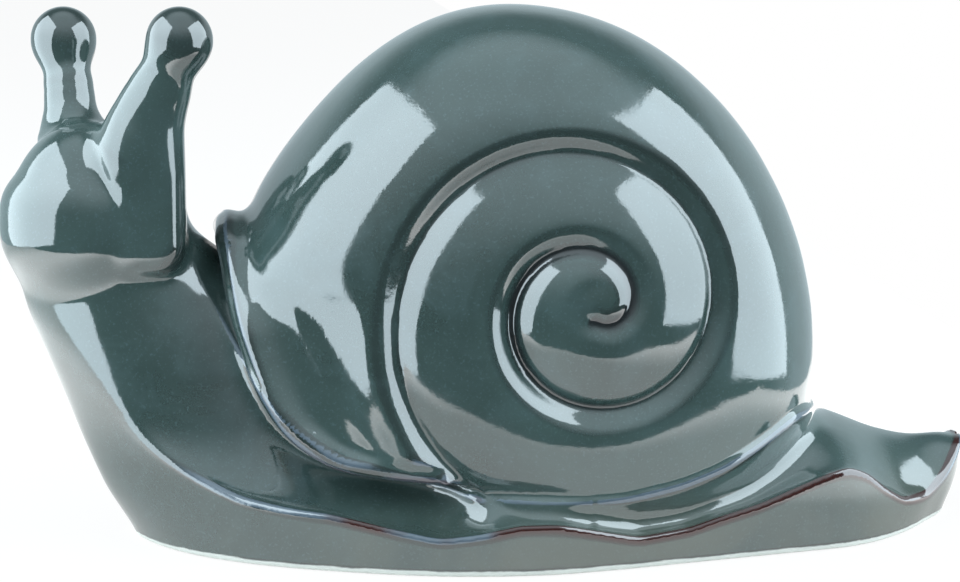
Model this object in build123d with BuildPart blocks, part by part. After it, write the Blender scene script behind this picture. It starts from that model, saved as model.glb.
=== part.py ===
"""A glazed ceramic garden snail, slip cast in hollow pieces that are luted together before firing.

Millimetres. The snail faces -X with its tail at +X, its left side is +Y, and it rests on Z = 0.
"""
import os
from math import cos, pi, sin

from build123d import *

# Wall and joints
wall = 5.0                      # cast wall of the foot, neck, head and shell
overrun = 4.0                   # how far a cut runs past what it cuts

# Foot, from the front of the sole to the tip of the tail
foot_length = 212.0             # sole, measured on the ground
foot_half_width = 56.0
foot_front = -88.8              # front of the sole
rim_height = 20.4               # highest wave of the rim, beside the tail
saddle_height = 24.0            # back of the foot under the shell
rim_flare = 1.1                 # how far the rim leans out past the sole
slimmest_hollow = 20.0          # half width of the foot where its hollow ends
tail_tip_height = 20.0
tail_tip_underside = 10.0
tail_tip_half_width = 2.2
tail_tip_corner = 1.1
tail_overhang = 3.6             # how far the tail tip leans out past the sole

# Neck and head
head_radius = 22.0
head_centre = Vector(-98.5, -1.5, 85.8)
neck_overlap = 5.8              # the neck ends this far below the head's centre
neck_back = -2.2                # back of the neck on the sole, under the shell
neck_half_width = 37.8          # half width of the neck on the sole

# Shell, a flat coil that is the same on both sides
shell_radius = 72.0             # mean radius of the last whorl
mouth_gap = 8.0                 # from the back of the head to the middle of the shell's lip
coil_start_share = 0.060        # radius of the innermost curl, as a share of the shell's
coil_core_share = 0.029         # inner radius of the innermost curl
coil_growth_share = 0.219       # growth of the coil in its first turn
coil_widening_share = 0.058     # further growth, with the square of the turns
coil_rise_shares = Vector(0.055, 0.0, 0.076)    # from the shell's centre to the innermost curl
apex_height = 54.0              # half the shell's thickness at its innermost curl
whorl_drop = 5.0                # each whorl lies this much lower than the one inside it
groove_depth = 3.5              # a whorl's edge ends this far below the crown of the next one
rim_edge = 2.0                  # half the flat left on the outermost edge
last_whorl_start = 2            # turns from the centre to the start of the last whorl
whorl_overlap_share = 0.8       # how far each whorl reaches under the one inside it
coil_shoulder_share = 0.3       # flat part of each whorl before its edge rounds over
mouth_shoulder_share = 0.25
coil_drift_turns = 3.2          # turns in which the coil's centre drifts to the shell's centre
last_whorl_end = 24             # eighths of a turn from the centre to the mouth
half_turn = 4                   # eighths of a turn in each loft of the coil
quarter_turn = 90.0             # degrees

# Rolled lip round the mouth of the shell
lip_top_radius = 4.4
lip_side_radius = 3.6
lip_end_radius = 2.0
lip_crest_drop = 6.9            # crest of the lip below the head's centre
lip_end_share = 0.403           # where the lip runs out, along the sole
lip_end_inset = 7.5             # the lip's ends, in from the widest part of the shell
lip_end_drop = 6.0              # the lip's ends, below the back of the foot

# Tentacles
bulb_radius = 8.3
stalk_radius = 6.4
stalk_foot_radius = 8.4
waist_share = 0.38              # where each stalk is thinnest, from its root to its bulb
tentacle_embed = 6.0            # how far the root runs into the head before it is cut to it
left_root_shares = Vector(-0.22, 0.57, 0.69)     # from the head's centre, of its radius
left_reach = Vector(-2.0, 9.0, 23.8)             # from the root to the bulb's centre
right_root_shares = Vector(0.54, -0.57, 0.58)
right_reach = Vector(10.9, -6.0, 28.6)

# Sole slab and vents
sole_thickness = 5.0
vent_diameter = 3.5
inner_vent_diameter = 9.0

# Each station of the foot, as shares: place along the sole, half width, rim height, back height
foot_station_shares = [
    (0.065, 0.470, 0.56, 0.70),
    (0.125, 0.650, 0.74, 0.92),
    (0.192, 0.780, 0.73, 1.00),
    (0.277, 0.900, 0.60, 1.00),
    (0.353, 0.975, 0.47, 1.00),
    (0.438, 1.000, 0.63, 1.00),
    (0.505, 0.988, 0.56, 1.00),
    (0.575, 0.934, 0.40, 1.00),
    (0.655, 0.864, 0.50, 1.04),
    (0.740, 0.788, 0.74, 1.12),
    (0.834, 0.702, 1.00, 1.10),
    (0.886, 0.600, 0.69, 0.98),
    (0.924, 0.468, 0.49, 0.88),
    (0.962, 0.300, 0.52, 0.82),
    (0.992, 0.120, 0.80, 0.82),
]

# Each level of the neck: its height as a share of the neck's, and how far its front, back and
# half width have gone from those on the sole to those of the head, as shares
neck_level_shares = [
    (0.00, 0.00, 0.00, 0.00),
    (0.16, 0.22, 0.03, 0.16),
    (0.35, 0.41, 0.24, 0.42),
    (0.55, 0.59, 0.52, 0.68),
    (0.72, 0.75, 0.74, 0.86),
    (0.88, 0.89, 0.88, 0.98),
    (0.96, 0.95, 0.96, 1.04),
    (1.00, 0.97, 1.01, 1.07),
]

# Outer edge of the last whorl, each eighth of a turn from straight down, as shares of the radius
last_whorl_shares = [0.88, 0.98, 0.93, 0.925, 1.03, 1.075, 1.15, 1.18, 1.10]

# Where the shell's centre lies from the crest of its lip, as shares of its radius: along, up
shell_centre_shares = (1.200, -0.255)

# Route of the lip down one side, as shares of the way from its crest to its end: along, across, down
lip_route_shares = [
    (0.000, 0.00, 0.00),
    (0.000, 0.39, 0.13),
    (0.017, 0.51, 0.29),
    (0.066, 0.57, 0.45),
    (0.127, 0.64, 0.60),
    (0.227, 0.72, 0.735),
    (0.370, 0.825, 0.85),
    (0.563, 0.92, 0.93),
    (0.773, 0.97, 0.975),
    (1.000, 1.00, 1.00),
]

# Places that several pieces share
lip_crest = head_centre + Vector(head_radius + mouth_gap, -head_centre.Y, -lip_crest_drop)
lip_end = Vector(
    foot_front + lip_end_share * foot_length,
    apex_height - lip_end_inset,
    saddle_height - lip_end_drop,
)
shell_centre = lip_crest + Vector(
    shell_centre_shares[0] * shell_radius, 0, shell_centre_shares[1] * shell_radius
)


def foot_section(place, half_width, rim, back, inset):
    """One upright slice across the foot: sole, bulging walls up to the rim, and the back."""
    width = half_width * foot_half_width - inset
    rim_width = width + rim_flare
    rim_top = rim * rim_height - inset
    back_top = back * saddle_height - inset
    below = -overrun
    with BuildSketch(Plane.YZ.offset(foot_front + place * foot_length)) as section:
        with BuildLine():
            Line((-width, below), (width, below))
            Line((width, below), (rim_width, rim_top))
            ThreePointArc((rim_width, rim_top), (0, back_top), (-rim_width, rim_top))
            Line((-rim_width, rim_top), (-width, below))
        make_face()
    return section.sketch


def tail_section():
    """The small slice at the very tip of the tail, clear of the ground."""
    low_left = Vector(-tail_tip_corner, tail_tip_underside)
    low_right = Vector(tail_tip_corner, tail_tip_underside)
    rim_right = Vector(tail_tip_half_width, tail_tip_height - tail_tip_corner)
    rim_left = Vector(-tail_tip_half_width, tail_tip_height - tail_tip_corner)
    with BuildSketch(Plane.YZ.offset(foot_front + foot_length + tail_overhang)) as section:
        with BuildLine():
            Line(low_left, low_right)
            Line(low_right, rim_right)
            ThreePointArc(rim_right, (0, tail_tip_height), rim_left)
            Line(rim_left, low_left)
        make_face()
    return section.sketch


def between(start, end, share):
    """The value that lies a share of the way from start to end."""
    return start + (end - start) * share


def neck_section(height, front, back, half_width, inset):
    """One level slice of the neck."""
    front_x = between(foot_front, head_centre.X - head_radius, front) + inset
    back_x = between(neck_back, head_centre.X + head_radius, back) - inset
    across = between(neck_half_width, head_radius, half_width) - inset
    with BuildSketch(Plane.XY.offset(height * (head_centre.Z - neck_overlap))) as section:
        with Locations(((front_x + back_x) / 2, 0)):
            Ellipse((back_x - front_x) / 2, across)
    return section.sketch


def body_solid(inset):
    """Foot, neck and head as one solid, drawn in by the inset for the hollow inside."""
    stations = foot_station_shares
    if inset:
        stations = [shares for shares in stations if shares[1] * foot_half_width > slimmest_hollow]
    with BuildPart() as foot:
        for shares in stations:
            add(foot_section(*shares, inset))
        if not inset:
            add(tail_section())
        loft()
    with BuildPart() as neck:
        for shares in neck_level_shares:
            add(neck_section(*shares, inset))
        loft()
    with BuildPart() as body:
        add(foot.part)
        add(neck.part)
        with Locations(head_centre):
            Sphere(head_radius - inset)
        split(bisect_by=Plane.XY, keep=Keep.TOP)
    return body.part


def suture_radius(turns):
    """Radius of the groove of the coil, by the turns from its centre."""
    shares = coil_start_share + coil_growth_share * turns + coil_widening_share * turns**2
    return shares * shell_radius


def whorl_section(eighth, inset):
    """A slice of the coil through its axis, at a number of eighths of a turn from its centre."""
    turns = eighth / 8
    last = turns >= last_whorl_start
    angle = 2 * pi * turns - pi / 2
    drift = 0 if last else shell_radius * (1 - turns / coil_drift_turns)
    centre = shell_centre + coil_rise_shares * drift
    outward = Vector(cos(angle), 0, sin(angle))
    top = apex_height - whorl_drop * max(turns - 1, 0) - inset
    if last:
        outer = last_whorl_shares[eighth - 8 * last_whorl_start] * shell_radius - inset
        edge = rim_edge
    else:
        outer = suture_radius(turns)
        edge = apex_height - whorl_drop * turns - groove_depth - inset
    inner = coil_core_share * shell_radius
    if turns > 1:
        inner = max(inner, suture_radius(turns - 1) * whorl_overlap_share)
    shoulder = inner + (outer - inner) * (mouth_shoulder_share if last else coil_shoulder_share)
    with BuildSketch(Plane(origin=centre, x_dir=outward, z_dir=Vector(0, 1, 0).cross(outward))) as section:
        with BuildLine():
            Line((inner, -top), (shoulder, -top))
            EllipticalCenterArc(
                (shoulder, -edge),
                outer - shoulder,
                top - edge,
                start_angle=-quarter_turn,
                arc_size=quarter_turn,
            )
            Line((outer, -edge), (outer, edge))
            EllipticalCenterArc(
                (shoulder, edge),
                outer - shoulder,
                top - edge,
                start_angle=0,
                arc_size=quarter_turn,
            )
            Line((shoulder, top), (inner, top))
            Line((inner, top), (inner, -top))
        make_face()
    return section.sketch


def half_turn_solid(start, inset):
    """Half a turn of the coil from one eighth of a turn on, drawn in by the inset."""
    with BuildPart() as half:
        for eighth in range(start, start + half_turn + 1):
            add(whorl_section(eighth, inset))
        loft()
    return half.part


def coil_solid(first, last, inset):
    """Part of the coil between two eighths of a turn, drawn in by the inset."""
    with BuildPart() as coil:
        for start in range(first, last, half_turn):
            add(half_turn_solid(start, inset))
    return coil.part


def shell_solid():
    """The whole coil, inner curls and last whorl, solid through."""
    with BuildPart() as shell:
        add(coil_solid(0, last_whorl_end, 0.0))
        with Locations(Plane(origin=shell_centre + coil_rise_shares * shell_radius, z_dir=(0, 1, 0))):
            Cylinder(suture_radius(0), 2 * (apex_height - whorl_drop))
    return shell.part


def shell_hollow():
    """The hollow of the last whorl, joined across the middle of the shell."""
    core_radius = suture_radius(last_whorl_start) * whorl_overlap_share + overrun
    core_half = apex_height - whorl_drop * last_whorl_end / 8 - wall
    with BuildPart() as hollow:
        add(coil_solid(8 * last_whorl_start, last_whorl_end, wall))
        with Locations(Plane(origin=shell_centre, z_dir=(0, 1, 0))):
            Cylinder(core_radius, 2 * core_half)
    return hollow.part


def lip_solid():
    """The rolled lip, from the end of its left side over the crest to the end of its right side."""
    way = lip_end - lip_crest
    side = [
        lip_crest + Vector(along * way.X, across * way.Y, down * way.Z)
        for along, across, down in lip_route_shares
    ]
    other_side = [Vector(point.X, -point.Y, point.Z) for point in side]
    with BuildPart() as lip:
        with BuildLine() as route:
            Spline(*reversed(side), *other_side[1:])
        radii = [lip_end_radius, lip_side_radius, lip_top_radius, lip_side_radius, lip_end_radius]
        for place, radius in zip((0.0, 0.3, 0.5, 0.7, 1.0), radii):
            with BuildSketch(Plane(origin=route.line @ place, z_dir=route.line % place)):
                Circle(radius)
        sweep(multisection=True)
        with Locations(side[-1], other_side[-1]):
            Sphere(lip_end_radius)
    return lip.part


def tentacle_solid(root_shares, axis):
    """A stalk that widens into the head below and ends in a round bulb."""
    root = head_centre + root_shares * head_radius
    reach = axis.length
    across = axis.cross(Vector(0, 0, 1)).normalized()
    with BuildPart() as tentacle:
        with BuildSketch(Plane(origin=root, x_dir=across, z_dir=across.cross(axis))):
            with BuildLine():
                Line((0, -tentacle_embed), (stalk_foot_radius, -tentacle_embed))
                Spline(
                    (stalk_foot_radius, -tentacle_embed),
                    (stalk_radius, reach * waist_share),
                    (bulb_radius, reach),
                    tangents=((-1, 2), (0, 1)),
                )
                CenterArc((0, reach), bulb_radius, 0, quarter_turn)
                Line((0, reach + bulb_radius), (0, -tentacle_embed))
            make_face()
        revolve(axis=Axis(root, axis))
    return tentacle.part


def export_piece(piece, label):
    """Name a finished piece and write its STEP file."""
    piece.label = label
    export_step(piece, f"parts/{label}.step")


def build_part():
    """All pieces of the snail, by name, cut to seat on each other without gaps."""
    body_outside = body_solid(0.0)
    body_inside = body_solid(wall)
    shell_outside = shell_solid()

    with BuildPart() as body_casting:
        add(body_outside)
        add(body_inside, mode=Mode.SUBTRACT)
        with Locations((shell_centre.X, 0, saddle_height)):
            Cylinder(inner_vent_diameter / 2, 2 * (wall + overrun), mode=Mode.SUBTRACT)

    with BuildPart() as sole_slab:
        add(body_inside)
        split(bisect_by=Plane.XY.offset(sole_thickness), keep=Keep.BOTTOM)
        with Locations((shell_centre.X, 0, sole_thickness)):
            Hole(vent_diameter / 2)

    with BuildPart() as shell_casting:
        add(shell_outside)
        add(shell_hollow(), mode=Mode.SUBTRACT)
        add(body_outside, mode=Mode.SUBTRACT)
        split(bisect_by=Plane.XY, keep=Keep.TOP)

    with BuildPart() as shell_lip:
        add(lip_solid())
        add(body_outside, mode=Mode.SUBTRACT)
        add(shell_outside, mode=Mode.SUBTRACT)

    with BuildPart() as left_tentacle:
        add(tentacle_solid(left_root_shares, left_reach))
        add(body_outside, mode=Mode.SUBTRACT)

    with BuildPart() as right_tentacle:
        add(tentacle_solid(right_root_shares, right_reach))
        add(body_outside, mode=Mode.SUBTRACT)

    return {
        "body_casting": body_casting.part,
        "sole_slab": sole_slab.part,
        "shell_casting": shell_casting.part,
        "shell_lip": shell_lip.part,
        "left_tentacle": left_tentacle.part,
        "right_tentacle": right_tentacle.part,
    }


os.makedirs("parts", exist_ok=True)
for label, piece in build_part().items():
    export_piece(piece, label)
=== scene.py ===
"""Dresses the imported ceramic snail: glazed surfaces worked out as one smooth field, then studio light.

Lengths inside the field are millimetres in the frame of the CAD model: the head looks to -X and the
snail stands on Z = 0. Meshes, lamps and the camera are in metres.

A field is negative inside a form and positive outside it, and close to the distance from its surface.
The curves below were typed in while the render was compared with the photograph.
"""

import math

import bpy
import numpy as np
from mathutils import Matrix


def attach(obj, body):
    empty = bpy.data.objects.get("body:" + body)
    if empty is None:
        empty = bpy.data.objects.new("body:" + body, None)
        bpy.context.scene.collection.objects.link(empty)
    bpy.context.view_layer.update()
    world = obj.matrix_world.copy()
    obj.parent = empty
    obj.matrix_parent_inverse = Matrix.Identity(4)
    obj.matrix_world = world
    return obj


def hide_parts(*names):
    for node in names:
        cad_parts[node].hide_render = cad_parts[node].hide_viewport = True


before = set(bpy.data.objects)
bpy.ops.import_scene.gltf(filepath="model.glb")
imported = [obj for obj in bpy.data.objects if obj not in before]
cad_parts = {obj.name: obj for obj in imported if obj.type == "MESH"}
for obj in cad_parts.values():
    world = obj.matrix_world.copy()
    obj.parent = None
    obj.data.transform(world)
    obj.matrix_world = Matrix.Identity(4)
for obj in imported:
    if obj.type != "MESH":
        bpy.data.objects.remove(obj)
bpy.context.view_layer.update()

CELL = 0.62          # size of a mesh cell
COARSE = 4                                  # fine cells along a block of the first search
BATCH = 200000                              # points worked out at a time
SKIN = 3.0                                  # thickness of a glazed wall
LIP_SKIN = 1.0                              # thickness of the lip's wall
BODY, SHELL, LIP, LEFT, RIGHT = range(5)    # labels of the glazed pieces

SHELL_X, SHELL_Z = 17.9, 60.5               # middle of the last whorl
SHELL_RADIUS = 72.0

# A field that is a height above a slope is scaled by these, which brings it near to a distance
TOP_SCALE, FLAT_SCALE, FLARE_SCALE = 0.93, 0.97, 0.92


# Small helpers for smooth shapes

def smooth_min(a, b, blend):
    """The lower of two fields, with a fillet of about that size between them."""
    near = np.maximum(blend - np.abs(a - b), 0.0) / blend
    return np.minimum(a, b) - near * near * blend * 0.25


def smooth_max(a, b, blend):
    """The higher of two fields, with a rounded edge."""
    return -smooth_min(-a, -b, blend)


def ramp(low, high, value):
    """0 at low, 1 at high and smooth between them, with low above high for a falling one."""
    share = np.clip((value - low) / (high - low), 0.0, 1.0)
    return share * share * (3 - 2 * share)


def length(vectors):
    """Length of each row."""
    return np.sqrt((vectors ** 2).sum(1))


def turn_of(across, up):
    """Share of a turn from straight down, by way of the right, as the camera sees it."""
    return (np.arctan2(up, across) / (2 * math.pi) + 0.25) % 1.0


def curve(points, blur, step=0.25):
    """A smooth function through points given as (place, value)."""
    places = [point[0] for point in points]
    values = [point[1] for point in points]
    grid = np.arange(places[0] - 4 * blur, places[-1] + 4 * blur, step * min(1.0, blur))
    line = np.interp(grid, places, values)
    reach = int(math.ceil(3 * blur / (grid[1] - grid[0])))
    spread = np.arange(-reach, reach + 1) * (grid[1] - grid[0])
    kernel = np.exp(-0.5 * (spread / blur) ** 2)
    line = np.convolve(np.pad(line, reach, mode="edge"), kernel / kernel.sum(), mode="valid")
    return lambda value: np.interp(value, grid, line)


def capsule(x, y, z, start, end, start_radius, end_radius):
    """A round cone between two points."""
    axis = [end[i] - start[i] for i in range(3)]
    squared = sum(part * part for part in axis)
    along = ((x - start[0]) * axis[0] + (y - start[1]) * axis[1] + (z - start[2]) * axis[2]) / squared
    along = np.clip(along, 0.0, 1.0)
    away = np.sqrt(
        (x - start[0] - along * axis[0]) ** 2
        + (y - start[1] - along * axis[1]) ** 2
        + (z - start[2] - along * axis[2]) ** 2
    )
    return away - (start_radius + (end_radius - start_radius) * along)


# Foot: half width at the ground, lean of its two ends by height, and heights along X

outline = [
    (-100, -22), (-88.8, 0), (-85.8, 11.4), (-80, 21), (-73.4, 28.2), (-61.3, 37.1), (-49.4, 43.1),
    (-37.5, 47.7), (-25.7, 51.8), (-13.8, 54.6), (-1.8, 56), (12.8, 56), (28, 53.3), (43.6, 49.6),
    (59.4, 45.9), (75.5, 42.2), (89.1, 39), (98.1, 34.2), (106.8, 26.3), (115.3, 15), (123.2, 0),
    (135, -18),
]
width_squared = curve([(place, width * abs(width)) for place, width in outline], 2.2)
front_lean = curve([
    (-5, 0), (0, 0), (3.2, 2), (13.4, 6.9), (28, 12.9), (43.8, 18.8), (56.8, 23.5), (69.7, 28.1),
    (77.4, 31.1), (90, 35),
], 2.5)
tail_lean = curve([(-5, 0), (0, 0), (5.7, 2), (13.8, 3.6), (19.8, 4), (40, 4)], 1.5)
rim_height = curve([
    (-120, 24), (-90, 22), (-80, 20), (-73, 18), (-63.5, 15.6), (-54, 15.1), (-42.2, 14.6),
    (-30.4, 12.3), (-16.3, 9.6), (-6.7, 10.7), (2.9, 12.8), (12.6, 12.7), (22.6, 10.5), (32.9, 8.1),
    (45.8, 9.2), (53.6, 11.2), (64.2, 13.6), (74.8, 17.2), (82.8, 19.8), (88.2, 20.9), (94.2, 18.3),
    (98.9, 14.1), (106, 9.7), (114.4, 9), (119.5, 12), (123, 16), (126, 19.8), (135, 22),
], 1.6)
back_height = curve([
    (-120, 26), (-80, 25), (-50, 25), (40, 24), (60, 26), (75, 27.5), (85.7, 28.7), (95.8, 25.8),
    (104, 22.4), (113.6, 20.3), (117.6, 20.3), (123.1, 20.9), (127.2, 19.8), (135, 19),
], 2.5)
dish_depth = curve([
    (-120, 1), (-60, 2.2), (50, 2.4), (70, 2.4), (90, 2.8), (108, 2.4), (120, 0.8), (130, 0),
], 3.0)
DISH_WIDTH = 6.0                            # from the rim to the deepest line of the dish beside it
LEAN_FROM = -58.0                           # X at which the front's lean sets in
LEAN_SOFTNESS = 6.0                         # how gradually it sets in
LEAN_LENGTH = 30.8                          # from there to the front of the foot at the ground
RIM_FLARE = 1.1                             # how much wider the foot is at its rim

# Neck: its front, its back and its half width by height, and the seam between body and shell by X

neck_front = curve([
    (0, -111), (13, -112), (28, -114), (44, -117), (57, -119), (70, -120.4), (80, -120.3), (95, -119),
], 4.0)
neck_back = curve([
    (0, 6), (13, 0), (28, -12), (44, -30), (57, -46), (68, -60), (74, -68), (78, -73.5), (84, -76.5),
    (95, -77.8),
], 2.5)
neck_side = curve([
    (0, 36), (13, 33), (20, 30), (29, 27.5), (40, 24.8), (52, 22.6), (62, 20.6), (70, 19.6),
    (80, 19.4), (95, 19),
], 3.0)
seam_height = curve([
    (-80, 70), (-70, 60), (-60, 46), (-51.5, 32.9), (-41.9, 25.2), (-29.8, 21.1), (-17.6, 19),
    (-2.9, 17.1), (14.4, 16.6), (29.3, 17.2), (44.2, 20.1), (54.2, 23.3), (64.1, 27.8), (71, 31.5),
    (76, 33.6), (80, 33.4), (86, 31.5), (95, 30),
], 1.6)

# Head and the flat-faced bulges under the tentacles: places, half sizes, how square they are, and
# the number that turns shares of their size into millimetres

HEAD_X, HEAD_Y, HEAD_Z = -99.8, -2.5, 79.0
HEAD_RADIUS, HEAD_UP, HEAD_DOWN, HEAD_SCALE = 20.2, 26.0, 14.0, 19.5
LOBE_X, LOBE_LOW, LOBE_HIGH = -84.6, 78.0, 92.0
LOBE_LONG, LOBE_WIDE, LOBE_DOWN, LOBE_UP, LOBE_SCALE = 9.6, 9.8, 9.5, 20.0, 9.3
LOBE_POWER, LOBE_END_POWER = 3.3, 2.2
NEAR_LOBE_Y, FAR_LOBE_Y = -14.0, 10.0


def foot_width(x, z):
    """Square of the half width of the foot at that height, and how fast it changes along it."""
    lean = front_lean(z)
    ahead = LEAN_FROM - x
    ahead = 0.5 * (ahead + np.sqrt(ahead * ahead + LEAN_SOFTNESS ** 2))
    place = x + ahead * lean / (LEAN_LENGTH + lean) - tail_lean(z) * ramp(98, 122, x)
    squared = width_squared(place)
    slope = width_squared(place + 0.5) - width_squared(place - 0.5)
    return squared, slope


def body_field(x, y, z, shell):
    """Foot, neck and head without the tentacles."""
    squared, slope = foot_width(x, z)
    side = y * y
    steep = np.sqrt(slope * slope + 4 * (side + 0.1 * np.maximum(squared, 0)) / 1.1 + 1e-6)
    wall = (side - squared) / steep - RIM_FLARE * ramp(0, 14, z)

    # The top of the foot rises from its rim to its back, with a dish along the rim
    width = np.sqrt(np.maximum(squared, 1.0))
    inside = width - np.abs(y)
    rim = rim_height(x)
    share = np.minimum(side / (width * width), 1.6)
    dish = inside / DISH_WIDTH
    dish = np.where(inside > 0, dish * np.exp(1 - np.maximum(inside, 0) / DISH_WIDTH), dish * math.e)
    top = rim + (back_height(x) - rim) * (1 - share) - dish_depth(x) * dish
    top = (z - top) * TOP_SCALE

    # The neck is an ellipse at every height, and the body creeps up round the shell in a collar
    low, high = neck_front(z), neck_back(z)
    long_half, wide_half = (high - low) / 2, neck_side(z)
    ex, ey = (x - (low + high) / 2) / long_half, y / wide_half
    steep = 2 * np.sqrt((ex / long_half) ** 2 + (ey / wide_half) ** 2) + 1e-4
    neck = smooth_max((ex * ex + ey * ey - 1) / steep, z - 88, 6)
    collar = smooth_max(shell - 1.5, z - seam_height(x), 1.6)
    back = smooth_min(smooth_min(top, neck, 13.0), collar, 7.0)
    body = smooth_max(wall, back, 1.5 + 5.0 * ramp(35, 72, z))
    lobes = smooth_min(lobe(x, y - NEAR_LOBE_Y, z), lobe(x, y - FAR_LOBE_Y, z), 4.0)
    return smooth_min(smooth_min(body, head_field(x, y, z), 8.0), lobes, 1.8)


def head_field(x, y, z):
    """An egg with a fuller crown."""
    tall = np.where(z > HEAD_Z, HEAD_UP, HEAD_DOWN)
    sides = ((x - HEAD_X) / HEAD_RADIUS) ** 2 + ((y - HEAD_Y) / HEAD_RADIUS) ** 2
    egg = (np.sqrt(sides + ((z - HEAD_Z) / tall) ** 2) - 1) * HEAD_SCALE
    crown = capsule(x, y, z, (-98.0, -2.0, 88.0), (-90.5, -3.0, 91.5), 16.5, 14.0)
    return smooth_min(egg, crown, 5.0)


def lobe(x, y, z):
    """The flat-faced bulge under a tentacle."""
    below, above = np.maximum(LOBE_LOW - z, 0) / LOBE_DOWN, np.maximum(z - LOBE_HIGH, 0) / LOBE_UP
    sides = (np.abs(x - LOBE_X) / LOBE_LONG) ** LOBE_POWER + (np.abs(y) / LOBE_WIDE) ** LOBE_POWER
    ends = sides + below ** LOBE_END_POWER + above ** LOBE_END_POWER
    return (ends ** (1 / LOBE_POWER) - 1) * LOBE_SCALE


def tentacle_field(x, y, z, base, waist, bulb, radii):
    """A stalk that is slimmest at its waist, with a round knob on top."""
    stalk = capsule(x, y, z, base, waist, radii[0], radii[1])
    knob = capsule(x, y, z, waist, bulb, radii[1], radii[2])
    ball = capsule(x, y, z, bulb, (bulb[0], bulb[1], bulb[2] + 0.5), radii[3], radii[3])
    return smooth_min(smooth_min(stalk, knob, 4.0), ball, 3.0)


def far_tentacle(x, y, z):
    base, waist, bulb = (-103.4, 11.0, 101.0), (-104.0, 15.0, 112.5), (-105.2, 20.0, 124.6)
    return tentacle_field(x, y, z, base, waist, bulb, (8.6, 5.3, 6.6, 8.2))


def near_tentacle(x, y, z):
    base, waist, bulb = (-87.5, -13.5, 100.0), (-81.2, -16.8, 114.0), (-76.0, -20.0, 127.2)
    return tentacle_field(x, y, z, base, waist, bulb, (9.6, 6.4, 6.9, 7.8))


# Shell: radii by share of a turn, the half width by distance from the coil's centre, how full the
# whorl's section is, and the depth of the groove across it

whorl_radius = curve([
    (-0.1, 64), (0, 64), (0.06, 68), (0.125, 73), (0.18, 73.7), (0.205, 71.4), (0.2225, 69.3),
    (0.26, 66.4), (0.296, 64.8), (0.33, 64.2), (0.366, 64.8), (0.4, 66.1), (0.43, 68), (0.458, 70),
    (0.483, 71.8), (0.506, 73.4), (0.527, 74.9), (0.55, 76), (0.572, 76.4), (0.61, 76.2),
    (0.632, 76.1), (0.656, 76.8), (0.678, 78.1), (0.6955, 79.6), (0.72, 81), (0.75, 82.5),
    (0.85, 80), (0.92, 70), (0.98, 64), (1.1, 64),
], 0.008)
mouth_radius = curve([
    (0.5, 90), (0.69, 89), (0.714, 86.5), (0.722, 85.2), (0.737, 83), (0.753, 80.5), (0.771, 78.1),
    (0.79, 76.4), (0.805, 74.4), (0.819, 71.6), (0.837, 66.7), (0.853, 60.5), (0.872, 54.3),
    (0.9, 49.5), (0.93, 46), (1.1, 46),
], 0.008)
dome = curve([
    (-10, 55), (0, 55), (6, 54.6), (12, 53.2), (24, 50), (38, 47.3), (52, 45), (70, 43.6), (100, 42.6),
], 3.0)
fullness = curve([
    (-0.1, 2.4), (0, 2.4), (0.1, 2.15), (0.2, 1.95), (0.3, 1.85), (0.4, 1.95), (0.5, 2.1),
    (0.6, 2.15), (0.7, 2.15), (0.8, 2.0), (0.9, 2.1), (1.0, 2.4), (1.1, 2.4),
], 0.03)
groove = curve([
    (-8, 0), (-5, 0), (-4, 0.05), (-3, 0.18), (-2, 0.45), (-1.2, 0.85), (-0.5, 1.3), (0, 1.5),
    (0.6, 1.4), (1.5, 1.05), (3, 0.55), (4.5, 0.22), (6, 0.05), (8, 0), (12, 0),
], 0.5)

# Where, beside the outer groove and by height, the whorl starts and stops to fall towards the mouth
steep_start = curve([(10, 1.5), (30, 1.5), (40, 2.5), (53, 3.5), (65, 5.5), (79, 8.5), (95, 14)], 3.0)
steep_end = curve([(10, 10), (25, 12), (30, 13), (40, 15.5), (53, 20), (65, 26), (79, 36), (95, 44)], 3.0)

COIL_START, COIL_GROWTH, COIL_BEND = 0.060, 0.219, 0.058    # radius of the groove by turns
SHIFT_X, SHIFT_Z, SHIFT_TURNS = 0.055, 0.076, 3.2           # its centre moves with the turns
COIL_X = SHELL_X + SHIFT_X * SHELL_RADIUS
COIL_Z = SHELL_Z + SHIFT_Z * SHELL_RADIUS

FALL = 0.34                                 # drop of a curl's outer edge, as a share of its width
LEVEL = 0.2                                 # share of that width that stays level
RISE = 6.5                                  # distance in which a curl rises from the edge before it
BOTTOM_RADIUS = 64.0                        # radius of the last whorl straight below its middle
BOTTOM_POWER = 2.4                          # fullness of its section there
SIDE_LEAN = 0.085                           # slope at which the shell's sides lean in upwards
MOUTH_FALL = 0.62                           # slope of the steep side beside the groove at the mouth


def coil_table():
    """The groove of the coil, seen from its innermost point: turns round it, radius and slant."""
    turns = np.arange(-1.2, 2.5, 0.002)
    zero = 600                              # where turns is 0
    after = np.maximum(turns, 0.0)
    radius = SHELL_RADIUS * (COIL_START + COIL_GROWTH * after + COIL_BEND * after * after)
    along = -SHIFT_X * SHELL_RADIUS * after / SHIFT_TURNS + radius * np.sin(2 * math.pi * turns)
    up = -SHIFT_Z * SHELL_RADIUS * after / SHIFT_TURNS - radius * np.cos(2 * math.pi * turns)
    angle = np.unwrap(np.arctan2(up, along)) / (2 * math.pi)
    angle += round(turns[zero] - 0.25 - angle[zero]) + 0.25
    away = np.hypot(along, up)
    slant = np.gradient(away, angle * 2 * math.pi) / away
    slant = np.convolve(np.pad(slant, 40, mode="edge"), np.ones(81) / 81, mode="valid")
    return angle, away, np.sqrt(1 + slant ** 2)


coil_turns, coil_away, coil_slant = coil_table()


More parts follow.
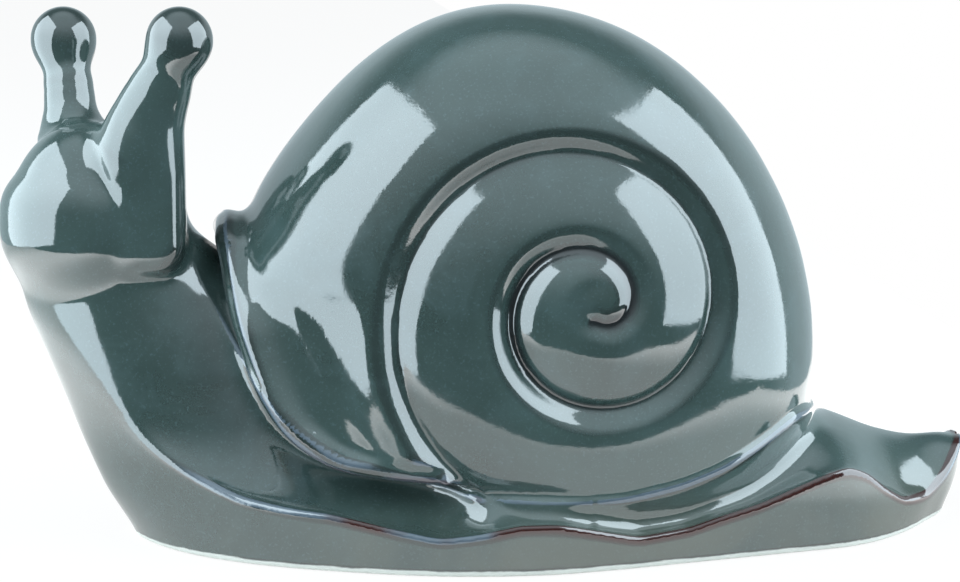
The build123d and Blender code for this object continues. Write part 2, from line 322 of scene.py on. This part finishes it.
def groove_laps(x, z):
    """Distance from the coil's centre, and for the laps of the groove at that angle, from the inmost
    outwards, the signed distance (positive outside it) and the turns from the centre.
    """
    cx, cz = x - COIL_X, z - COIL_Z
    rho = np.hypot(cx, cz)
    lap = turn_of(cx, cz)
    laps = []
    for number in (-1, 0, 1):
        turns = lap + number
        way = rho - np.interp(turns, coil_turns, coil_away)
        laps.append((way / np.interp(turns, coil_turns, coil_slant), turns))
    return rho, laps


def curl_fall(way, width):
    """How far a curl has fallen off, this far from its inner groove."""
    share = np.clip(way / np.maximum(width, 1.0), 0, 1)
    return width * FALL * np.maximum((share - LEVEL) / (1 - LEVEL), 0) ** 1.5


def coil_height(rho, laps, across):
    """Half width of the shell over the coil and the last whorl, without the groove. Each curl starts
    level at its inner groove and falls off more and more towards its outer edge.
    """
    (centre_way, _), (inner_way, inner_turns), (outer_way, outer_turns) = laps
    grown = ramp(0.1, 0.7, inner_turns)
    first_width, second_width = centre_way - inner_way, inner_way - outer_way
    first_start = dome(rho - np.maximum(centre_way, 0) * grown)
    first_span = first_width * grown
    first_edge = dome(rho - inner_way - first_span) - FALL * first_span
    second_start = dome(rho - np.maximum(inner_way, 0))
    second_in = second_start - (second_start - first_edge) * (1 - ramp(0, RISE, inner_way))
    height = np.where(
        inner_way > 0,
        second_in - curl_fall(inner_way, second_width),
        first_start - curl_fall(centre_way, first_width) * grown,
    )

    # Towards its end the second curl takes the round form of the last whorl
    ending = ramp(1.5, 1.98, outer_turns)
    room = np.maximum(inner_way + BOTTOM_RADIUS - across, 1.0)
    share = np.minimum(np.maximum(inner_way, 0) / room, 0.999)
    rounder = second_start * np.maximum(1 - share ** BOTTOM_POWER, 1e-4) ** (1 / BOTTOM_POWER)
    height = height + (rounder - (second_start - second_in) - height) * ending * (inner_way > 0)

    share = np.clip(second_width / room, 0, 0.95)
    edge = second_start - FALL * second_width
    edge = edge + (second_start * (1 - share ** BOTTOM_POWER) ** (1 / BOTTOM_POWER) - edge) * ending
    last = dome(rho - np.maximum(outer_way, 0))
    last = last - (last - edge) * (1 - ramp(0, RISE, outer_way))
    return np.where(outer_way < 0, height, last)


def mouth_side(high, height, outer_way, across, turn, z):
    """Side of the last whorl near the mouth, which falls away beside the groove and then flares."""
    start, end = steep_start(z), steep_end(z)
    away = np.maximum(outer_way, 0)
    steep_part = smooth_max(away - start, 0.0, 5.0) - smooth_max(away - end, 0.0, 9.0)
    flare = 0.20 + 0.22 * ramp(56, 72, z)
    lift = 0.06 * np.maximum(66.0 - z, 0.0) * ramp(0, 9, away)
    side = height + lift - MOUTH_FALL * steep_part - flare * np.maximum(away - end, 0)
    edge_blend = 20.0 - 17.0 * ramp(0.69, 0.76, turn)
    return smooth_max((high - side) * FLARE_SCALE, across - mouth_radius(turn), edge_blend)


def shell_field(x, y, z):
    """The coil, mirrored in Y: raised inner curls with a groove between them, and the last whorl."""
    high = np.abs(y)
    dx, dz = x - SHELL_X, z - SHELL_Z
    across, turn = np.hypot(dx, dz), turn_of(dx, dz)
    rho, laps = groove_laps(x, z)
    outer_way = laps[2][0]

    height = coil_height(rho, laps, across)
    depth = 0.0
    for way, turns in laps:
        begun, grown, ended = ramp(-0.26, 0.04, turns), ramp(0.8, 1.2, turns), ramp(1.85, 1.98, turns)
        depth = depth + groove(way) * begun * (1 - 0.5 * grown) * (1 - ended)
    height = height - depth - SIDE_LEAN * (np.maximum(z, 12.0) - 62.0)

    # Outside the last groove the section is round
    reach = np.maximum(outer_way + whorl_radius(turn) - across, 8.0)
    v = np.maximum(outer_way, 0.0) / reach
    w = high / height
    power = fullness(turn)
    q = np.maximum((v ** power + w ** power) ** (1 / power), 1e-3)
    steep = np.sqrt(((v / q) ** (power - 1) / reach) ** 2 + ((w / q) ** (power - 1) / height) ** 2)
    rounded = (q - 1) / np.maximum(steep, 1e-3)
    flared = mouth_side(high, height, outer_way, across, turn, z)
    rounded = rounded + (flared - rounded) * ramp(0.70, 0.76, turn) * (1 - ramp(0.9, 0.96, turn))
    return np.where(outer_way < 0, (high - height) * FLAT_SCALE, rounded)


# Lip of the shell: a bevelled band between a sharp crest and its foot, from its top at Y = 0 down

LIP_CREST = [
    (-67.4, 0, 81.8), (-67.6, 8, 80.9), (-67.6, 13.5, 79.2), (-67.0, 19, 76.0), (-65.7, 25, 67.9),
    (-63.5, 29.3, 59.3), (-60.5, 33, 50.1), (-57.1, 36.6, 41.4), (-53, 39.8, 34.8), (-48, 42.4, 30),
    (-39.9, 45, 25.3), (-31.1, 45.9, 23.4), (-22, 46.7, 22.2), (-14, 46.8, 21.2), (-6, 46.6, 19.2),
]
LIP_FOOT = [
    (-70.6, 0, 79.2), (-71.2, 7, 78.0), (-71.7, 11.5, 76), (-71.4, 16, 73), (-70.1, 20, 66.3),
    (-68.2, 23.5, 57.6), (-65.5, 27, 48.4), (-61.9, 30.4, 39.6), (-57.4, 33.8, 33),
    (-51.6, 37.6, 28.4), (-42.4, 42, 24.2), (-32.4, 45.2, 22.3), (-23, 46.7, 20.6),
    (-14.8, 47.2, 19.2), (-6, 46.8, 17.4),
]
LIP_SHARES = [0, 0.15, 0.5, 0.75, 0.88, 0.96, 1.0]
LIP_RADII = [3.1, 3.1, 2.9, 1.9, 1.0, -1.0, -3.0]       # it runs out before the end of its path
BLEND_SHARES = [0, 0.1, 0.35, 0.6, 0.8, 1.0]
LIP_BLENDS = [6, 6, 5.5, 4.5, 3, 2]
MOUTH_MIDDLE = np.array((-35.0, 0.0, 55.0))
FAR_AWAY = 60.0                             # stands for any place that the lip doesn't reach


def smooth_path(points, pieces):
    """Points along a smooth curve through the given ones, which is mirrored in Y at its start."""
    points = np.array(points, float)
    before = points[1] * [1, -1, 1]
    after = 2 * points[-1] - points[-2]
    padded = np.vstack([before, points, after])
    path = []
    for index in range(1, len(points)):
        a, b, c, d = padded[index - 1:index + 3]
        for share in np.arange(pieces) / pieces:
            path.append(0.5 * (
                2 * b + (c - a) * share + (2 * a - 5 * b + 4 * c - d) * share ** 2
                + (3 * b - a - 3 * c + d) * share ** 3
            ))
    path.append(points[-1])
    return np.array(path)


crest_path = smooth_path(LIP_CREST, 5)
foot_path = smooth_path(LIP_FOOT, 5)
lip_middle = (crest_path + foot_path) / 2
lip_facing = np.cross(np.gradient(lip_middle, axis=0), foot_path - crest_path)
lip_facing /= np.linalg.norm(lip_facing, axis=1)[:, None]
lip_facing *= -np.sign(lip_facing[0][0])


def lip_place(p):
    """The nearest place on the lip: its crest, its foot, the way it faces and the share of the path."""
    best = np.full(len(p), 1e9)
    place = np.zeros(len(p))
    for index in range(len(lip_middle) - 1):
        start, way = lip_middle[index], lip_middle[index + 1] - lip_middle[index]
        share = np.clip(((p - start) @ way) / (way @ way), 0, 1)
        gap = ((p - start - share[:, None] * way) ** 2).sum(1)
        closer = gap < best
        best = np.where(closer, gap, best)
        place = np.where(closer, index + share, place)
    index = np.minimum(place.astype(int), len(lip_middle) - 2)
    share = (place - index)[:, None]
    crest, foot, facing = (
        path[index] * (1 - share) + path[index + 1] * share for path in (crest_path, foot_path, lip_facing)
    )
    return crest, foot, facing / length(facing)[:, None], place / (len(lip_middle) - 1)


def lip_field(x, y, z):
    """The flange of the mouth: its rounded core, the plane of its bevel, how softly it runs into the
    shell and the distance from the bevel.
    """
    core = np.full(x.shape, FAR_AWAY)
    bevel = np.full(x.shape, -FAR_AWAY)
    soft = np.full(x.shape, 4.0)
    away = np.full(x.shape, FAR_AWAY)
    near = (x < 12) & (x > -86) & (z > 2) & (z < 98)
    if not near.any():
        return core, bevel, soft, away
    p = np.stack([x[near], np.abs(y[near]), z[near]], 1)
    crest, foot, facing, share = lip_place(p)
    band = foot - crest
    over = np.clip(((p - crest) * band).sum(1) / (band * band).sum(1), 0, 1)
    inward = MOUTH_MIDDLE - crest
    inward /= length(inward)[:, None]
    radius = np.interp(share, LIP_SHARES, LIP_RADII)
    depth = np.maximum(radius, 0) + 0.3
    core[near] = length(p - crest - inward * depth[:, None]) - radius
    far_off = np.maximum(length(p - (crest + foot) / 2) - 4.0, 0)
    bevel[near] = ((p - crest) * facing).sum(1) - 12 * ramp(-16, -6, p[:, 0]) - 1.5 * far_off
    soft[near] = np.interp(share, BLEND_SHARES, LIP_BLENDS)
    away[near] = length(p - crest - over[:, None] * band)
    return core, bevel, soft, away


# The whole snail

GROUND_EDGE = 1.2                           # rounding where the walls meet the ground
POCKET_TOP = 5.2                            # depth of the recess that holds the sole
pocket_width = curve([(place, max(width, 0) - 4.7) for place, width in outline], 2.2)


def pocket(x, y):
    """Outline of the recess that holds the sole, a hair wider than the sole itself."""
    long_cut = np.maximum(np.abs(y) - pocket_width(x), np.abs(x - 16.0) - 91.4)
    round_cut = (np.sqrt(((x + 45.5) / 38.6) ** 2 + (y / 33.1) ** 2) - 1) * 33.0
    return np.minimum(long_cut, round_cut)


def fields(x, y, z):
    """The whole snail, then body, shell with its lip, distance from the lip, and both tentacles."""
    shell = shell_field(x, y, z)
    body = body_field(x, y, z, shell)
    core, bevel, soft, lip_away = lip_field(x, y, z)
    far = far_tentacle(x, y, z)
    near = near_tentacle(x, y, z)
    rolled = smooth_max(smooth_min(shell, core, soft), bevel, 2.4)
    whole = smooth_min(smooth_min(body, far, 5.0), near, 5.0)
    whole = smooth_min(whole, rolled, 2.2)
    whole = smooth_max(whole, -z, GROUND_EDGE)
    whole = np.maximum(whole, -np.maximum(pocket(x, y), z - POCKET_TOP))
    return whole, body, rolled, lip_away, far, near


def total(p):
    """The field of the whole snail at many points, a slice at a time."""
    out = np.empty(len(p))
    for start in range(0, len(p), BATCH):
        out[start:start + BATCH] = fields(*p[start:start + BATCH].T)[0]
    return out


# Surface net

FIELD_LOW = np.array([-124.0, -60.5, -2.5])
FIELD_HIGH = np.array([130.5, 60.5, 138.5])
CORNERS = [(i, j, k) for i in (0, 1) for j in (0, 1) for k in (0, 1)]


def enlarged(blocks):
    """Every block repeated for each of its fine cells."""
    for axis in range(3):
        blocks = np.repeat(blocks, COARSE, axis)
    return blocks


def without_layer(grid, corner):
    """A view of the grid without the first layer along each axis marked 1, and the last of the others."""
    return grid[tuple(slice(first, size - 1 + first) for first, size in zip(corner, grid.shape))]


def sampled_field():
    """The field on a fine grid, worked out near the surface only and just signed elsewhere."""
    block = CELL * COARSE
    blocks = np.ceil((FIELD_HIGH - FIELD_LOW) / block).astype(int)
    axes = [FIELD_LOW[i] + (np.arange(blocks[i]) + 0.5) * block for i in range(3)]
    value = total(np.stack(np.meshgrid(*axes, indexing="ij"), -1).reshape(-1, 3)).reshape(blocks)
    close = enlarged(np.abs(value) < block * 1.3 + 3.5)     # with room for fields that aren't distances
    grid = np.pad(enlarged(np.where(value < 0, -9.0, 9.0)), ((0, 1),) * 3, mode="edge").astype(np.float32)
    fine = np.zeros(grid.shape, bool)
    for corner in CORNERS:
        part = without_layer(fine, corner)
        part |= close
    index = np.argwhere(fine)
    grid[tuple(index.T)] = total(FIELD_LOW + index * CELL)
    return grid


def surface():
    """One closed mesh of quads on the zero of the field."""
    grid = sampled_field()
    size = np.array(grid.shape)
    inside = grid < 0
    filled = np.zeros(size - 1, np.uint8)
    for corner in CORNERS:
        filled += without_layer(inside, corner)
    cells = np.argwhere((filled > 0) & (filled < 8))
    number = np.full(size - 1, -1, np.int64)
    number[tuple(cells.T)] = np.arange(len(cells))

    # A vertex is the mean of the crossings on its cell's edges, and each crossing makes a quad
    vertices = np.zeros((len(cells), 3))
    weight = np.zeros(len(cells))
    quads = []
    for axis in range(3):
        step = np.zeros(3, int)
        step[axis] = 1
        a = inside[tuple(slice(0, size[i] - step[i]) for i in range(3))]
        b = inside[tuple(slice(step[i], size[i]) for i in range(3))]
        edges = np.argwhere(a != b)
        start = grid[tuple(edges.T)].astype(float)
        end = grid[tuple((edges + step).T)].astype(float)
        cross = edges + step * (start / (start - end))[:, None]
        u, v = [i for i in range(3) if i != axis]
        keep = (edges[:, u] > 0) & (edges[:, u] < size[u] - 1)
        keep &= (edges[:, v] > 0) & (edges[:, v] < size[v] - 1)
        edges, cross, start = edges[keep], cross[keep], start[keep]
        ring = []
        for du, dv in ((-1, -1), (0, -1), (0, 0), (-1, 0)):
            cell = edges.copy()
            cell[:, u] += du
            cell[:, v] += dv
            ids = number[tuple(cell.T)]
            np.add.at(vertices, ids, cross)
            np.add.at(weight, ids, 1.0)
            ring.append(ids)
        quad = np.stack(ring, 1)
        flip = (start > 0) if axis != 1 else (start < 0)
        quad[flip] = quad[flip][:, ::-1]
        quads.append(quad)
    vertices = FIELD_LOW + vertices / weight[:, None] * CELL
    return vertices, np.vstack(quads)


def slopes(p, reach):
    """The field, its gradient and the sum of its second differences, over a distance."""
    middle = total(p)
    gradient = np.zeros_like(p)
    bend = -6 * middle
    for axis in range(3):
        step = np.zeros(3)
        step[axis] = reach
        ahead, behind = total(p + step), total(p - step)
        gradient[:, axis] = (ahead - behind) / (2 * reach)
        bend += ahead + behind
    return middle, gradient, bend / reach ** 2


def bending(reach):
    """How sharply the surface bends at each vertex: positive on edges, negative in creases."""
    _, gradient, bend = slopes(vertices, reach)
    return bend / np.maximum(length(gradient), 0.3)


def evened(values):
    """Values at the vertices, each replaced by the mean over the quads around it."""
    around = np.repeat(values[quads].mean(1), 4, axis=0)
    count = np.bincount(quads.ravel(), minlength=len(values))
    summed = [np.bincount(quads.ravel(), around[:, axis], len(values)) for axis in range(3)]
    return np.stack(summed, 1) / np.maximum(count, 1)[:, None]


def settled(started):
    """The vertices moved onto the surface. The few that still miss it, or that have slid along it by
    more than a cell, go back and are evened out.
    """
    moved = started.copy()
    for _ in range(3):
        value, gradient, _ = slopes(moved, 0.25)
        move = (value / np.maximum((gradient ** 2).sum(1), 0.05))[:, None] * gradient
        limit = 0.8 * CELL / np.maximum(length(move)[:, None], 1e-9)
        moved = moved - move * np.minimum(1.0, limit)
    lost = (np.abs(total(moved)) > 0.12) | (((moved - started) ** 2).sum(1) > (1.3 * CELL) ** 2)
    moved[lost] = started[lost]
    moved[lost] = evened(moved)[lost]
    return moved


vertices, quads = surface()
vertices = settled(vertices)
gradient = slopes(vertices, 0.45)[1]
normals = evened(evened(gradient / np.maximum(length(gradient), 1e-6)[:, None]))
normals /= np.maximum(length(normals), 1e-6)[:, None]

# Which piece each quad belongs to: the one whose field is lowest there
LIP_REACH = 2.6                             # how far from the bevel the shell's surface is lip
CHEEK = 80                                  # no tentacle is below this height
middles = vertices[quads].mean(1)
_, body, shell, lip, far, near = fields(*middles.T)
on_head = middles[:, 2] > CHEEK
label = np.full(len(quads), BODY)
label[(shell < body) & (shell < np.minimum(far, near))] = SHELL
label[(lip < LIP_REACH) & (shell < body + 0.3)] = LIP
label[(far < body) & (far < shell) & on_head] = LEFT
label[(near < body) & (near < shell) & on_head] = RIGHT

# What the glaze has to know at each vertex: how sharply it bends there, and how far off the lines are
half_width = np.sqrt(np.maximum(foot_width(vertices[:, 0], vertices[:, 2])[0], 0))
below_rim = vertices[:, 2] - rim_height(vertices[:, 0])
suture_away = np.inf
for way, turns in groove_laps(vertices[:, 0], vertices[:, 2])[1]:
    faded = 20 * ramp(-0.05, -0.25, turns) + 1.5 * ramp(0.8, 1.2, turns) + 9 * ramp(1.8, 1.95, turns)
    suture_away = np.minimum(suture_away, np.abs(way) + faded)
attributes = {
    "fine_bend": bending(1.0),
    "broad_bend": bending(2.6),
    "rim_away": np.hypot(half_width - np.abs(vertices[:, 1]), below_rim),
    "suture_away": suture_away,
    "lip_away": lip_field(*vertices.T)[3],
}


def make_piece(name, which, thickness):
    """A closed glazed wall: the quads of one label, a skin inside them and the edge that joins the two.
    The skin lies less deep where the clay is too thin for it.
    """
    used, faces = np.unique(quads[label == which], return_inverse=True)
    faces = faces.reshape(-1, 4)
    count = len(used)
    outer, facing = vertices[used], normals[used]
    depth = -total(outer - facing * thickness)
    inner = outer - facing * (thickness * np.clip(depth / (0.6 * thickness), 0.12, 1.0))[:, None]
    sides = np.vstack([faces[:, [i, (i + 1) % 4]] for i in range(4)])
    keys = sides.min(1) * count + sides.max(1)
    _, first, times = np.unique(keys, return_index=True, return_counts=True)
    border = sides[first[times == 1]]
    strip = np.stack([border[:, 1], border[:, 0], border[:, 0] + count, border[:, 1] + count], 1)
    every = np.vstack([faces, faces[:, ::-1] + count, strip])
    points = np.vstack([outer, inner]) * 0.001

    mesh = bpy.data.meshes.new(name)
    mesh.vertices.add(len(points))
    mesh.vertices.foreach_set("co", points.astype(np.float32).ravel())
    mesh.loops.add(every.size)
    mesh.loops.foreach_set("vertex_index", every.astype(np.int32).ravel())
    mesh.polygons.add(len(every))
    mesh.polygons.foreach_set("loop_start", np.arange(0, every.size, 4, dtype=np.int32))
    mesh.polygons.foreach_set("use_smooth", np.ones(len(every), bool))
    mesh.update(calc_edges=True)
    for key, values in attributes.items():
        both = np.concatenate([values[used], values[used]]).astype(np.float32)
        mesh.attributes.new(key, "FLOAT", "POINT").data.foreach_set("value", both)
    mesh.normals_split_custom_set_from_vertices(np.vstack([facing, -facing]).tolist())
    return add(name, mesh)


def add(name, data):
    """A new object in the scene."""
    made = bpy.data.objects.new(name, data)
    bpy.context.scene.collection.objects.link(made)
    return made


glazed_body = make_piece("glazed_body", BODY, SKIN)
glazed_shell = make_piece("glazed_shell", SHELL, SKIN)
glazed_lip = make_piece("glazed_lip", LIP, LIP_SKIN)
glazed_far = make_piece("glazed_left_tentacle", LEFT, SKIN)
glazed_near = make_piece("glazed_right_tentacle", RIGHT, SKIN)
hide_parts("body_casting")
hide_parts("shell_casting")
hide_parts("shell_lip")
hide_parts("left_tentacle")
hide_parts("right_tentacle")
for piece in (glazed_body, glazed_shell, glazed_lip, glazed_far, glazed_near):
    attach(piece, "root")


# Materials

class Nodes:
    """Short names for making a node tree. A value is a number, a colour or the output of a node."""

    def __init__(self, tree):
        self.tree = tree
        self.tree.nodes.clear()
        self.coordinates = self.node("ShaderNodeTexCoord").outputs

    def node(self, kind, **settings):
        made = self.tree.nodes.new(kind)
        for key, value in settings.items():
            setattr(made, key, value)
        return made

    def feed(self, socket, value):
        if isinstance(value, (int, float, tuple)):
            socket.default_value = value
        else:
            self.tree.links.new(value, socket)

    def fed(self, kind, **values):
        """A node with values for its inputs, named by them with _ for a space."""
        made = self.node(kind)
        for key, value in values.items():
            self.feed(made.inputs[key.replace("_", " ")], value)
        return made

    def math(self, operation, a, b):
        made = self.node("ShaderNodeMath", operation=operation)
        self.feed(made.inputs[0], a)
        self.feed(made.inputs[1], b)
        return made.outputs[0]

    def mix(self, share, a, b):
        """Colour a, or b where the share is 1."""
        made = self.node("ShaderNodeMix", data_type="RGBA")
        self.feed(made.inputs[0], share)
        self.feed(made.inputs[6], a)
        self.feed(made.inputs[7], b)
        return made.outputs[2]

    def spread(self, value, low, high, out_low=0.0, out_high=1.0):
        """A smooth step from out_low at low to out_high at high."""
        made = self.node("ShaderNodeMapRange", interpolation_type="SMOOTHSTEP")
        for index, number in enumerate((value, low, high, out_low, out_high)):
            self.feed(made.inputs[index], number)
        return made.outputs[0]

    def noise(self, scale, detail, rough, warp=0.0):
        place = self.coordinates["Object"]
        made = self.fed(
            "ShaderNodeTexNoise", Vector=place, Scale=scale, Detail=detail, Roughness=rough, Distortion=warp,
        )
        return made.outputs[0]

    def along(self, place, axis):
        """One part of a place or a direction."""
        return self.fed("ShaderNodeSeparateXYZ", Vector=place).outputs[axis]

    def attribute(self, name):
        return self.node("ShaderNodeAttribute", attribute_name=name).outputs["Fac"]

    def show(self, shader, kind="ShaderNodeOutputMaterial"):
        self.feed(self.node(kind).inputs[0], shader.outputs[0])


def new_material(name):
    """An empty material and its nodes."""
    material = bpy.data.materials.new(name)
    material.use_nodes = True
    return material, Nodes(material.node_tree)


def colour(red, green, blue):
    """A colour as it is read from a picture, 0 to 255, for a shader."""
    parts = []
    for part in (red, green, blue):
        part = part / 255
        parts.append(part / 12.92 if part < 0.04045 else ((part + 0.055) / 1.055) ** 2.4)
    return (*parts, 1.0)


def glaze(name):
    """Blue grey reactive glaze over a dark clay slip: it breaks brown on edges and pools dark in grooves."""
    material, n = new_material(name)
    cloud = n.noise(14.0, 4.0, 0.55, 0.4)
    mottle = n.noise(70.0, 5.0, 0.6, 0.6)
    speck = n.noise(1500.0, 2.0, 0.6)
    height = n.along(n.coordinates["Object"], 2)
    fine_bend, broad_bend = n.attribute("fine_bend"), n.attribute("broad_bend")
    uneven = n.math("SUBTRACT", mottle, 0.5)

    # Clouds, mottles and specks
    base = n.mix(n.spread(cloud, 0.35, 0.68), colour(51, 66, 63), colour(65, 83, 80))
    base = n.mix(n.math("MULTIPLY", n.spread(mottle, 0.45, 0.7), 0.3), base, colour(75, 94, 95))
    base = n.mix(n.math("MULTIPLY", n.spread(speck, 0.55, 0.75), 0.35), base, colour(88, 109, 113))

    # Warm stains low on the foot
    stained = n.math("MULTIPLY", n.spread(height, 0.022, 0.004), n.spread(cloud, 0.42, 0.62))
    base = n.mix(n.math("MULTIPLY", stained, 0.45), base, colour(84, 80, 66))

    # Thin and dark on broad bends, with a pale line on the sharpest that is partly the glaze breaking pale
    # and partly a painted highlight
    thin = n.spread(broad_bend, 0.11, 0.30)
    base = n.mix(n.math("MULTIPLY", thin, 0.75), base, colour(30, 38, 36))
    # Painted highlight along with the glaze's pale break: a pale line on the sharpest edges
    edge = n.spread(n.math("ADD", fine_bend, n.math("MULTIPLY", uneven, 0.3)), 0.28, 0.65)
    base = n.mix(n.math("MULTIPLY", edge, 0.5), base, colour(108, 122, 138))

    # Pooled in the groove of the shell
    ragged = n.math("ADD", n.attribute("suture_away"), n.math("MULTIPLY", uneven, 1.6))
    base = n.mix(n.spread(ragged, 2.6, 0.4, 0.0, 0.85), base, colour(22, 20, 24))

    # Broken to brown on stretches of the rim and of the lip's crest
    crest = n.math("MULTIPLY", n.spread(broad_bend, 0.10, 0.22), n.spread(n.attribute("rim_away"), 2.8, 1.5))
    base = n.mix(n.math("MULTIPLY", crest, n.spread(cloud, 0.47, 0.53)), base, colour(52, 17, 12))
    crest = n.math("MULTIPLY", n.spread(fine_bend, 0.35, 0.7), n.spread(n.attribute("lip_away"), 1.6, 0.8))
    base = n.mix(n.math("MULTIPLY", crest, n.spread(cloud, 0.4, 0.6)), base, colour(60, 28, 28))

    # A bare band at the ground
    bare = n.spread(n.math("ADD", height, n.math("MULTIPLY", uneven, 0.0012)), 0.0017, 0.0012)
    base = n.mix(bare, base, colour(205, 203, 195))

    relief = n.math("ADD", n.noise(120.0, 3.0, 0.5), n.math("MULTIPLY", speck, 0.12))
    bump = n.fed("ShaderNodeBump", Strength=0.12, Distance=0.0006, Height=relief)
    rough = n.math("ADD", n.spread(mottle, 0.3, 0.8, 0.05, 0.12), n.math("MULTIPLY", bare, 0.6))
    n.show(n.fed(
        "ShaderNodeBsdfPrincipled", Base_Color=base, Roughness=rough, IOR=2.1, Normal=bump.outputs[0],
    ))
    return material


def clay(name):
    """Pale fired clay with iron specks, dry to the touch."""
    material, n = new_material(name)
    cloud = n.noise(40.0, 5.0, 0.6)
    speck = n.noise(1400.0, 2.0, 0.7)
    base = n.mix(n.spread(cloud, 0.35, 0.7), colour(196, 190, 179), colour(212, 208, 199))
    base = n.mix(n.spread(speck, 0.66, 0.74), base, colour(142, 118, 96))
    relief = n.math("ADD", n.noise(600.0, 4.0, 0.6), cloud)
    bump = n.fed("ShaderNodeBump", Strength=0.3, Distance=0.0004, Height=relief)
    rough = n.spread(cloud, 0.2, 0.8, 0.78, 0.92)
    n.show(n.fed("ShaderNodeBsdfPrincipled", Base_Color=base, Roughness=rough, Normal=bump.outputs[0]))
    return material


body_glaze = glaze("body_glaze")
shell_glaze = glaze("shell_glaze")
for piece in (glazed_body, glazed_far, glazed_near):
    piece.data.materials.append(body_glaze)
for piece in (glazed_shell, glazed_lip):
    piece.data.materials.append(shell_glaze)
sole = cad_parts["sole_slab"]
sole.data.materials.clear()
sole.data.materials.append(clay("sole_clay"))


# Floor, world, lamps and camera

WHITE = (1, 1, 1, 1)


def floor_material():
    """A pale floor that looks white, keeps the shadow, and is brighter in reflections near the snail."""
    material, n = new_material("studio_floor")
    path = n.node("ShaderNodeLightPath").outputs
    wide = n.node("ShaderNodeVectorMath", operation="LENGTH")
    n.feed(wide.inputs[0], n.coordinates["Object"])
    wide = wide.outputs["Value"]
    side = n.math("MULTIPLY", n.spread(wide, 0.12, 0.18, 0.0, 1.5), n.spread(wide, 0.20, 0.30, 1.0, 0.1))
    bright = n.math("ADD", 1.0, n.math("MULTIPLY", side, path["Is Glossy Ray"]))
    glow = n.fed("ShaderNodeEmission", Color=WHITE, Strength=bright)
    diffuse = n.fed("ShaderNodeBsdfDiffuse", Color=colour(238, 238, 236))
    seen = n.math("MAXIMUM", path["Is Camera Ray"], path["Is Glossy Ray"])
    blend = n.node("ShaderNodeMixShader")
    n.feed(blend.inputs[0], n.math("MULTIPLY", seen, 0.9))
    n.feed(blend.inputs[1], diffuse.outputs[0])
    n.feed(blend.inputs[2], glow.outputs[0])
    n.show(blend)
    return material


floor_mesh = bpy.data.meshes.new("floor")
floor_corners = [(-0.30, -0.03), (-0.11, -0.135), (0.10, -0.14), (0.20, -0.08), (0.22, 6.0), (-0.30, 6.0)]
floor_mesh.from_pydata([(*corner, 0) for corner in floor_corners], [], [(0, 1, 2, 3, 4, 5)])
floor = add("floor", floor_mesh)
floor.location.z = -0.0002
floor_mesh.materials.append(floor_material())


def studio_world():
    """White to the camera. In front of the snail the room brightens upwards, behind it only high up."""
    world = bpy.data.worlds.new("studio")
    world.use_nodes = True
    n = Nodes(world.node_tree)
    depth, up = (n.along(n.coordinates["Generated"], axis) for axis in (1, 2))
    seen = n.node("ShaderNodeLightPath").outputs["Is Camera Ray"]
    front = n.spread(up, -0.05, 0.90, 0.08, 0.95)
    back = n.math("MAXIMUM", n.spread(up, 0.30, 0.65, 0.8, 0.15), n.spread(up, 0.75, 1.0, 0.0, 1.1))
    front = n.math("MULTIPLY", front, n.spread(depth, -0.2, 0.5, 1.0, 0.0))
    back = n.math("MULTIPLY", back, n.spread(depth, -0.2, 0.5))
    strength = n.math("MAXIMUM", seen, n.math("ADD", front, back))
    tint = n.mix(seen, (0.78, 0.93, 1.0, 1), WHITE)
    n.show(n.fed("ShaderNodeBackground", Color=tint, Strength=strength), "ShaderNodeOutputWorld")
    return world


bpy.context.scene.world = studio_world()


def stand(thing, place, direction):
    """Puts a lamp or the camera at a place, looking in a direction."""
    direction = direction / np.linalg.norm(direction)
    side = np.cross(direction, (0, 0, 1))
    side = side / np.linalg.norm(side)
    up = np.cross(side, direction)
    rows = [(side[i], up[i], -direction[i], place[i]) for i in range(3)]
    thing.matrix_world = Matrix(rows + [(0, 0, 0, 1)])


def softbox(name, towards, distance, width, height, radiance):
    """A rectangular lamp that looks at the middle of the snail from a direction."""
    lamp = bpy.data.lights.new(name, "AREA")
    lamp.shape = "RECTANGLE"
    lamp.size = width
    lamp.size_y = height
    lamp.energy = radiance * width * height * math.pi
    lamp.color = (0.78, 0.92, 1.0)
    away = np.array(towards) / np.linalg.norm(towards) * distance
    stand(add(name, lamp), np.array((0, 0, 0.06)) + away, -away)


softbox("left_softbox", (-0.91, -0.10, 0.30), 0.95, 1.5, 1.50, 3.8)
softbox("right_softbox", (0.895, -0.25, 0.33), 0.95, 1.2, 1.30, 3.7)

azimuth, elevation = math.radians(-6.8), math.radians(9.7)
towards = np.array((
    math.sin(azimuth) * math.cos(elevation),
    -math.cos(azimuth) * math.cos(elevation),
    math.sin(elevation),
))
camera_data = bpy.data.cameras.new("camera")
camera_data.lens = 101.8
camera_data.sensor_width = 36.0
camera_data.clip_start = 0.02
camera = add("camera", camera_data)
stand(camera, np.array((0, 0, 0.0607)) + towards * 0.7, -towards)
bpy.context.scene.camera = camera
bpy.context.scene.view_settings.view_transform = "Standard"
